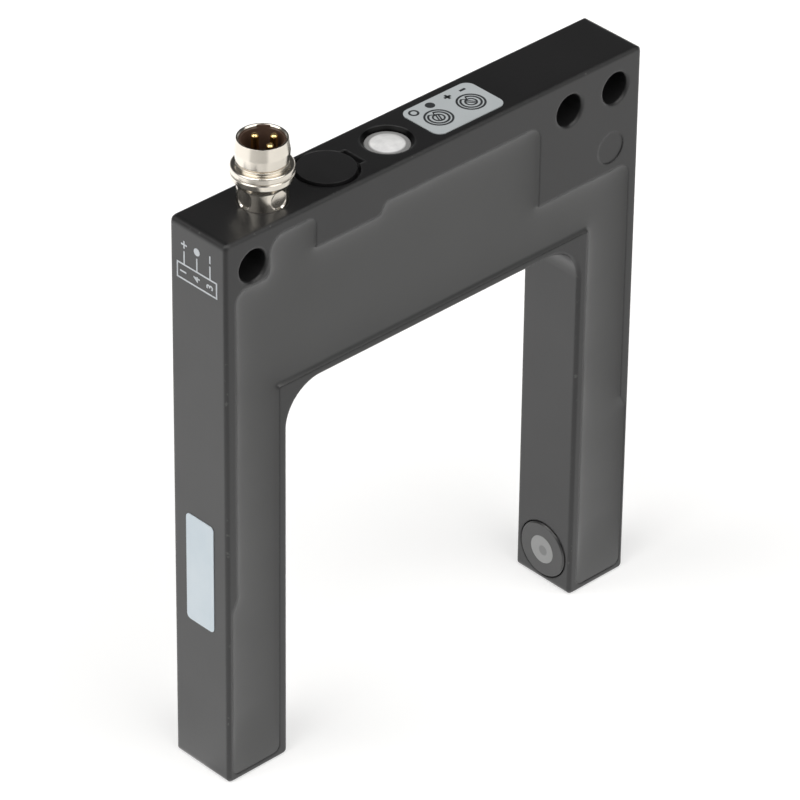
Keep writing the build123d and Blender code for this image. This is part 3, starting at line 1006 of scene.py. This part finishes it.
@dataclass
class PlugShell:
    """The turned shell of the plug with its four flats, flange, groove, bead and key notch."""

    flat_distance: float = 2.88
    flat_radius: float = 1.25
    flat_height: float = 1.35
    flat_border: float = 0.1
    inner_limit: float = 3.02
    key_angle: float = 45.0
    key_half_width: float = 0.8
    keyway_radius: float = 3.0
    keyway_bottom: float = 6.9
    notch_radius: float = 2.93
    notch_bottom: float = 8.1
    spacing: float = 0.12
    least_spacing: float = 0.0001
    arc_steps: int = 6
    count: int = 240

    def section(self) -> Array:
        """The shell's section, up the outside and down the bore.

        Returns:
            Its points (radius, height above the top edge), no more than spacing apart.
        """
        corners = [
            (2.45, -6.0, 0.05), (3.1, -6.0, 0.05), (3.17, 2.55, 0.7), (3.86, 3.43, 0.15), (3.95, 4.12, 0.06),
            (3.84, 4.3, 0.04), (3.95, 4.48, 0.1), (3.95, 5.25, 0.32), (3.26, 5.25, 0.06), (3.26, 5.6, 0.07),
            (3.06, 5.7, 0.03), (3.06, 5.84, 0.03), (3.31, 5.92, 0.05), (3.4, 7.15, 0.25), (3.18, 8.8, 0.04),
            (3.0, 8.8, 0.02), (2.85, 8.63, 0.03), (2.85, 3.3, 0.05), (2.45, 3.3, 0.05),
        ]
        points = rounded(np.array(corners), self.arc_steps)
        closed = np.vstack([points, points[:1]])
        run = np.concatenate([[0.0], np.cumsum(np.linalg.norm(np.diff(closed, axis=0), axis=1))])
        marks = np.unique(np.concatenate([run, np.arange(0, run[-1], self.spacing)]))
        marks = marks[np.concatenate([[True], np.diff(marks) > self.least_spacing])][:-1]
        return np.stack([np.interp(marks, run, line) for line in closed.T], axis=1)

    def build(self) -> Piece:
        """Turns the section, then presses the flats and the key notch into it.

        A flat lowers the distance from its own plane to flat_distance within a circle; the keyway widens the
        bore where the distance from the key's plane is under its half width, up to a thin lip at the rim.

        Returns:
            The shell.
        """
        angle = around(self.count)[:, None]
        radius, height = swept(self.section(), self.count)
        local = (angle + np.pi / 4) % (np.pi / 2) - np.pi / 4
        ahead = radius * np.cos(local)
        aside = radius * np.sin(local)
        reach = np.hypot(aside, height - self.flat_height)
        press = smoothstep((self.flat_radius - reach) / self.flat_border + 0.5) * (radius > self.inner_limit)
        ahead = ahead - press * np.maximum(ahead - self.flat_distance, 0)
        radius = np.hypot(ahead, aside)
        offset = angle - radians(self.key_angle)
        keyed = (np.abs(radius * np.sin(offset)) < self.key_half_width) & (radius * np.cos(offset) > 0)
        keyway = np.where(height > self.notch_bottom, self.notch_radius, self.keyway_radius)
        radius = np.where(keyed & (height > self.keyway_bottom) & (radius < keyway), keyway, radius)
        grid = turned(radius, height + BODY_TOP, PLUG_CENTRE)
        return Surface().add_grid(grid, wrap_rows=True, wrap_columns=True).build("plug_shell", crease=40.0)


@dataclass
class Contact:
    """One gold contact: a round-nosed pin and its square tail."""

    name: str
    node: str
    distance: float
    angle: float
    row: int
    radius: float = 0.5
    bevel: float = 0.05
    foot: float = 74.0
    tip: float = 88.6
    tail_width: float = 0.5
    tail_top: float = 0.2
    board: float = 1.7
    tail_drop: float = 3.4
    tail_step: float = 0.9
    shortest_run: float = 0.6
    sides: int = 40
    nose_steps: int = 13

    def build(self) -> Piece:
        """Makes the pin, a turned rod with a half ball on it, and the tail, a square carried round a bend.

        Returns:
            The contact.
        """
        x, y = arc(PLUG_CENTRE, self.distance, radians(self.angle))
        nose = arc((0.0, self.tip - self.radius), self.radius, np.linspace(0, np.pi / 2, self.nose_steps))
        inner = self.radius - self.bevel
        edge = [(0.0, self.foot), (inner, self.foot), (self.radius, self.foot + self.bevel)]
        rod = turned(*swept(np.vstack([edge, nose]), self.sides), (x, y))
        surface = Surface().add_grid(rod, wrap_rows=True)
        half = self.tail_width / 2
        back = min(y, self.board - half)
        low = self.foot - self.tail_drop - self.row * self.tail_step + half
        path = np.array([(back, self.foot + self.tail_top), (back, low), (self.board, low)])
        if self.board - back < self.shortest_run:
            path[1:] = (back, (self.foot + low) / 2), (back, low - half)
        bend = np.repeat(path, 2, axis=0)[1:-1]
        step = np.gradient(np.vstack([bend[0] * 2 - bend[1], bend, bend[-1] * 2 - bend[-2]]), axis=0)[1:-1]
        side = unit(np.stack([-step[:, 1], step[:, 0]], axis=1))
        corners = np.array([(-1, -1), (1, -1), (1, 1), (-1, 1)]) * half
        yz = bend[:, None, :] + corners[None, :, 1, None] * side[:, None, :]
        xs = np.broadcast_to(x + corners[None, :, 0], yz.shape[:2])
        surface.add_grid(pinched(np.concatenate([xs[..., None], yz], axis=-1)), wrap_columns=True)
        return surface.build(self.name, crease=50.0)


@dataclass
class LightGuide:
    """The indicator's clear rod with its crowned top and foot flange."""

    foot: float = 74.6
    shoulder: float = 75.4
    flange_radius: float = 3.45
    rod_radius: float = 2.95
    rim: float = 79.45
    rim_round: float = 0.2
    edge_round: float = 0.05
    crown_radius: float = 2.3
    crown_gap: float = 0.12
    crown_lip: float = 0.02
    crown: float = 0.3
    crown_steps: int = 24
    arc_steps: int = 5
    sides: int = 96

    def build(self) -> Piece:
        """Turns the rod's section, whose crown is a ball's cap: height = crown (1 - (r / crown radius)^2).

        Returns:
            The light guide.
        """
        corners = [
            (0.0, self.foot, 0.0),
            (self.flange_radius, self.foot, self.edge_round),
            (self.flange_radius, self.shoulder, self.edge_round),
            (self.rod_radius, self.shoulder, self.edge_round),
            (self.rod_radius, self.rim, self.rim_round),
            (self.crown_radius + self.crown_gap, self.rim, self.edge_round),
        ]
        sides = rounded(np.array(corners), self.arc_steps)[self.arc_steps + 1 :]
        share = np.linspace(1, 0, self.crown_steps)
        cap = np.stack([self.crown_radius * share, self.rim + self.crown * (1 - share**2)], axis=1)
        cap[0, 1] += self.crown_lip
        profile = swept(np.vstack([[(0.0, self.foot)], sides, cap]), self.sides)
        rod = Surface().add_grid(turned(*profile, INDICATOR_CENTRE), wrap_rows=True)
        return rod.build("light_guide", crease=40.0)


@dataclass
class Film:
    """A thin plate with rounded corners that lies on one of the casting's faces."""

    name: str
    across: Pair
    along: Pair
    corner: float
    arc_steps: int
    level: float
    thickness: float
    facing: Facing

    def build(self) -> Piece:
        """Shrinks the rounded outline to its middle on both faces, level by level.

        Returns:
            The film.
        """
        (left, right), (low, high) = self.across, self.along
        corners = np.array([(left, low), (right, low), (right, high), (left, high)])
        rim = rounded(np.insert(corners, 2, self.corner, axis=1), self.arc_steps)
        middle = corners.mean(axis=0)
        flat = middle + (rim[:, None, :] - middle) * np.array([0.0, 1.0, 1.0, 0.0])[None, :, None]
        grid = raised(flat, np.array([0.0, 0.0, self.thickness, self.thickness]) + self.level)
        film = Surface().add_grid(np.roll(grid, self.facing.value, axis=2), wrap_rows=True)
        return film.build(self.name, crease=30.0)


@dataclass
class DialPrint:
    """The ink on the adjuster label: two dials and a row of four plain marks."""

    dials: tuple[Colour, ...] = ((4.07, -0.62, 68.0), (9.58, -0.58, -53.0))
    outer_ring: Pair = (1.64, 1.92)
    open_ring: Pair = (1.17, 1.45)
    opening: Pair = (118.0, 440.0)
    inner_ring: Pair = (0.62, 0.86)
    pointers: tuple[Pair, ...] = ((118.0, 86.0), (80.0, 88.0))
    pointer_reach: Pair = (1.38, 0.8)
    pointer_width: float = 0.16
    slot: Colour = (0.17, 0.65, 0.2)
    marks: float = 2.2
    open_mark: Colour = (2.5, 0.42, 0.7)
    full_mark: Colour = (5.25, 0.0, 0.64)
    strokes: tuple[Colour, ...] = ((8.2, 0.525, 0.0), (8.2, 0.525, 90.0), (10.75, 0.475, 0.0))
    stroke_width: float = 0.36
    levels: Pair = (80.1, 80.12)
    steps: int = 72

    def add_ring(self, whole: Surface, centre: Point, radii: Pair, span: Pair = (0.0, 360.0)) -> None:
        """Adds a flat ring or arc of ink.

        Args:
            whole: The surface to add it to.
            centre: Its centre (x, y).
            radii: Its inner and outer radius.
            span: Its angles in degrees.
        """
        closed = span[1] - span[0] >= 360.0
        angle = np.radians(np.linspace(*span, self.steps, endpoint=not closed))
        whole.add_band(arc(centre, radii[0], angle), arc(centre, radii[1], angle), self.levels, closed)

    def add_bar(self, whole: Surface, centre: Point, half: float, width: float, turn: float) -> None:
        """Adds a straight bar of ink, turned from X by so many degrees about its centre."""
        ends = (arc(centre, reach, radians(turn)) for reach in (-half, half))
        whole.add_bar(*ends, width, self.levels)

    def build(self) -> Piece:
        """Joins the ink: each dial's rings, pointers and slot, then the marks.

        Returns:
            The print, as one piece.
        """
        whole = Surface()
        aside, half, width = self.slot
        for x, y, turn in self.dials:
            self.add_ring(whole, (x, y), self.outer_ring)
            self.add_ring(whole, (x, y), self.open_ring, self.opening)
            self.add_ring(whole, (x, y), self.inner_ring)
            for angles in self.pointers:
                places = zip(self.pointer_reach, angles)
                ends = (arc((x, y), reach, radians(angle)) for reach, angle in places)
                whole.add_bar(*ends, self.pointer_width, self.levels)
            for side in (-aside, aside):
                self.add_bar(whole, arc((x, y), side, radians(turn + 90.0)), half, width, turn)
        for x, *radii in (self.open_mark, self.full_mark):
            self.add_ring(whole, (x, self.marks), radii)
        for x, half, turn in self.strokes:
            self.add_bar(whole, (x, self.marks), half, self.stroke_width, turn)
        return whole.build("dial_print", crease=30.0)


@dataclass
class PinPlan:
    """The pale print on the casting's side: a frame with three numbers and a lead and mark from each."""

    face: float = -HALF_WIDTH
    ink: float = 0.02
    sunk: float = 0.01
    line: float = 0.22
    low: float = 72.05
    high: float = 74.15
    edges: Pair = (3.6, -3.42)
    leads: Colour = (2.36, 0.08, -2.27)
    lead_top: float = 75.95
    mark_gap: float = 1.02
    mark_size: float = 1.05
    dot_sides: int = 40
    numbers: tuple[str, ...] = ("1", "4", "3")
    places: Colour = (2.5, 0.08, -2.25)
    digit_size: float = 1.55
    digit_weight: float = 0.035

    def build_lines(self) -> Piece:
        """Joins the frame, leads and marks: a plus, a dot and a minus.

        Returns:
            The lines, as one piece.
        """
        whole = Surface()
        levels = (self.face - self.ink, self.face + self.sunk)
        left, right = self.edges
        corners = np.array([(left, self.low), (left, self.high), (right, self.high), (right, self.low)])
        outward = np.array([(1, -1), (1, 1), (-1, 1), (-1, -1)]) * self.line / 2
        whole.add_band(corners - outward, corners + outward, levels, True, Facing.ASIDE)
        mark = self.lead_top + self.mark_gap
        half, edge = self.mark_size / 2, self.line / 2
        bars = [(y, self.high + edge, y, self.lead_top + edge) for y in self.leads]
        bars += [(y, mark - half, y, mark + half) for y in (self.leads[0], self.leads[2])]
        bars += [(self.leads[0] + side * edge, mark, self.leads[0] + side * half, mark) for side in (-1, 1)]
        for y0, z0, y1, z1 in bars:
            whole.add_bar((y0, z0), (y1, z1), self.line, levels, Facing.ASIDE)
        dot = [arc((self.leads[1], mark), radius, around(self.dot_sides)) for radius in (0.0, half)]
        whole.add_band(*dot, levels, True, Facing.ASIDE)
        return whole.build("pin_plan", crease=30.0)

    def build_number(self, text: str, middle: float) -> Piece:
        """Makes one number, which reads up the side, as a mesh.

        Args:
            text: The number.
            middle: The y of its middle.

        Returns:
            The number.
        """
        curve = bpy.data.curves.new("digit", "FONT")
        curve.body = text
        curve.size = self.digit_size * MM
        curve.extrude = self.ink * MM / 2
        curve.offset = self.digit_weight * MM
        curve.align_x = curve.align_y = "CENTER"
        source = bpy.data.objects.new("digit", curve)
        mesh = bpy.data.meshes.new_from_object(source)
        bpy.data.objects.remove(source)
        flat = np.empty(len(mesh.vertices) * 3, np.float32)
        mesh.vertices.foreach_get("co", flat)
        across, up, out = flat.reshape(-1, 3).T
        x = (self.face - self.ink / 2) * MM - out
        placed = np.stack([x, middle * MM + up, (self.low + self.high) / 2 * MM + across], axis=1)
        mesh.vertices.foreach_set("co", placed.astype(np.float32).reshape(-1))
        mesh.update()
        rework(mesh)
        return link("pin_number_" + text, mesh)


# Finishes of the sensor's outside, by the record's material slots

SEEN = {
    # paint_black carries painted shade: the recess round the indicator is coloured near-black
    "black_paint": CastFinish(
        "paint_black", (0.0105, 0.0105, 0.011), (0.0125, 0.0125, 0.013), 0.28, 0.36, grain=1500.0,
        relief=0.000004, drift=50.0, dust=0.008, edge_colour=(0.12, 0.12, 0.115), round_edges=0.0005,
    ),
    "resin": Finish(
        "resin_grey", (0.0183, 0.0187, 0.0187), (0.0213, 0.0217, 0.0217), 0.3, 0.38, ior=1.62, grain=900.0,
        relief=0.000004, drift=70.0, dust=0.012,
    ),
    "nickel": Finish(
        "nickel_plate", (0.66, 0.618, 0.55), (0.7, 0.657, 0.585), 0.19, 0.24, metallic=1.0, grain=3000.0,
        relief=0.0000004, drift=400.0,
    ),
    "gold": Finish(
        "gold_plate", (0.86, 0.6, 0.25), (0.92, 0.68, 0.32), 0.14, 0.2, metallic=1.0, grain=3000.0,
        relief=0.000001, drift=600.0,
    ),
    "insert_plastic": Finish(
        "carrier_brown", (0.075, 0.045, 0.032), (0.09, 0.055, 0.04), 0.32, 0.45, grain=4000.0, drift=500.0,
    ),
    "cap_plastic": Finish(
        "cap_black", (0.0105, 0.0105, 0.011), (0.013, 0.013, 0.0135), 0.32, 0.4, grain=3500.0,
        relief=0.000008, drift=200.0, dust=0.003, round_edges=0.0001,
    ),
    "bezel_plastic": Finish(
        "bezel_black", (0.018, 0.018, 0.0185), (0.024, 0.024, 0.024), 0.3, 0.38, ior=1.6, grain=3000.0,
        relief=0.000004, drift=200.0, dust=0.002, round_edges=0.0001,
    ),
    "window_plastic": DiscFinish(
        "window_grey", (0.205, 0.208, 0.21), (0.22, 0.223, 0.225), 0.2, 0.26, grain=3000.0, relief=0.000002,
        drift=300.0, axis="X", centre=(0.0, -0.2, 4.95), ring_radius=0.72, ring_colour=(0.33, 0.335, 0.335),
        softness=0.14,
    ),
    "clear_plastic": DiscFinish(
        "guide_clear", (0.86, 0.86, 0.86), (0.66, 0.66, 0.67), 0.12, 0.2, relief=0.00001, drift=700.0,
        centre=(*INDICATOR_CENTRE, 0.0), ring_radius=2.22, ring_colour=(0.26, 0.26, 0.26), softness=0.16,
        coat=0.5,
    ),
    "label_print": Finish(
        "label_grey", (0.42, 0.45, 0.465), (0.45, 0.48, 0.495), 0.42, 0.5, grain=5000.0, relief=0.000002,
        drift=150.0,
    ),
    "sticker_paper": Finish(
        "sticker_film", (0.6, 0.685, 0.75), (0.66, 0.735, 0.79), 0.4, 0.5, grain=4000.0, relief=0.000003,
        drift=180.0,
    ),
}
INK = Finish("ink_dark", (0.02, 0.023, 0.025), (0.03, 0.033, 0.036), 0.45, 0.55, grain=5000.0, drift=300.0)
WHITE_INK = Finish("ink_white", (0.52, 0.55, 0.58), (0.6, 0.63, 0.66), 0.45, 0.55, grain=5000.0, drift=400.0)

# The pieces sealed in the resin and under the cap: what they share, and a name and two colours by slot
HIDDEN_GLOSS = (0.35, 0.5)
HIDDEN_DRIFT = 500.0
HIDDEN: dict[str, tuple[str, Colour, Colour]] = {
    "circuit_board": ("board_green", (0.02, 0.13, 0.05), (0.03, 0.17, 0.07)),
    "ribbon_film": ("ribbon_amber", (0.5, 0.25, 0.05), (0.6, 0.32, 0.08)),
    "trimmer_plastic": ("trimmer_blue", (0.04, 0.1, 0.3), (0.06, 0.14, 0.38)),
    "rotor_plastic": ("rotor_white", (0.74, 0.74, 0.72), (0.8, 0.8, 0.78)),
    "package_plastic": ("package_black", (0.015, 0.015, 0.015), (0.022, 0.022, 0.022)),
    "led_green": ("led_green", (0.2, 0.5, 0.2), (0.26, 0.6, 0.26)),
    "led_yellow": ("led_yellow", (0.7, 0.55, 0.1), (0.78, 0.62, 0.14)),
    "led_red": ("led_red", (0.5, 0.04, 0.03), (0.6, 0.06, 0.05)),
    "tantalum_resin": ("tantalum_yellow", (0.62, 0.4, 0.07), (0.7, 0.46, 0.1)),
    "ceramic": ("ceramic_tan", (0.4, 0.29, 0.19), (0.47, 0.35, 0.24)),
    "resistor_glaze": ("resistor_black", (0.02, 0.02, 0.03), (0.03, 0.03, 0.04)),
}


def dress(piece: Piece, material: bpy.types.Material) -> None:
    """Gives every slot of a piece one material.

    Args:
        piece: The piece or the CAD node.
        material: Its material.
    """
    if not piece.data.materials:
        piece.data.materials.append(material)
    for index in range(len(piece.data.materials)):
        piece.data.materials[index] = material


def add_piece(piece: Piece, material: bpy.types.Material, slot: str, *replaced: str) -> None:
    """Dresses a new piece, lets it ride on the sensor and hides the nodes that it replaces.

    Args:
        piece: The piece.
        material: Its material.
        slot: Not used.
        replaced: The frame's nodes that it replaces.
    """
    dress(piece, material)
    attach(piece, SENSOR)
    if replaced:
        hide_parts(*replaced)
    log.info("%s: %d faces", piece.name, len(piece.data.polygons))


def main() -> None:
    """Builds the studio, the finishes and the pieces in order."""
    logging.basicConfig(level=logging.INFO, format="%(name)s %(message)s")
    Studio().build()
    effects = Effects.build()
    hidden = {slot: Finish(*values, *HIDDEN_GLOSS, drift=HIDDEN_DRIFT) for slot, values in HIDDEN.items()}
    materials = {slot: finish.build(effects) for slot, finish in {**SEEN, **hidden}.items()}
    for part in frame["record"]["subparts"]:
        dress(frame["nodes"][part["node"]], materials[part["material_slot"]])
    contacts = (
        Contact("contact_1", "contact_pin_1", 1.5, 85.5, 0),
        Contact("contact_3", "contact_pin_3", 1.5, -94.5, 1),
        Contact("contact_4", "contact_pin_4", 1.75, -4.5, 0),
    )
    label = Film("dial_label", (1.1, 12.72), (-3.8, 3.42), 1.3, 10, BODY_TOP, 0.1, Facing.UP)
    sticker = Film("side_sticker", (-2.5, 2.5), (22.2, 38.1), 0.65, 8, -HALF_WIDTH, -0.09, Facing.ASIDE)
    for maker, slot, *replaced in (
        (Potting(), "resin"),
        (PlugShell(), "nickel", "connector_shell"),
        *((contact, "gold", contact.node) for contact in contacts),
        (LightGuide(), "clear_plastic", "indicator_lens"),
        (label, "label_print", "adjuster_label"),
        (sticker, "sticker_paper", "side_label"),
    ):
        add_piece(maker.build(), materials[slot], slot, *replaced)
    add_piece(DialPrint().build(), INK.build(effects), "label_print")
    plan = PinPlan()
    white = WHITE_INK.build(effects)
    add_piece(plan.build_lines(), white, "label_print")
    for text, middle in zip(plan.numbers, plan.places):
        add_piece(plan.build_number(text, middle), white, "label_print")


if __name__ == "__main__":
    main()
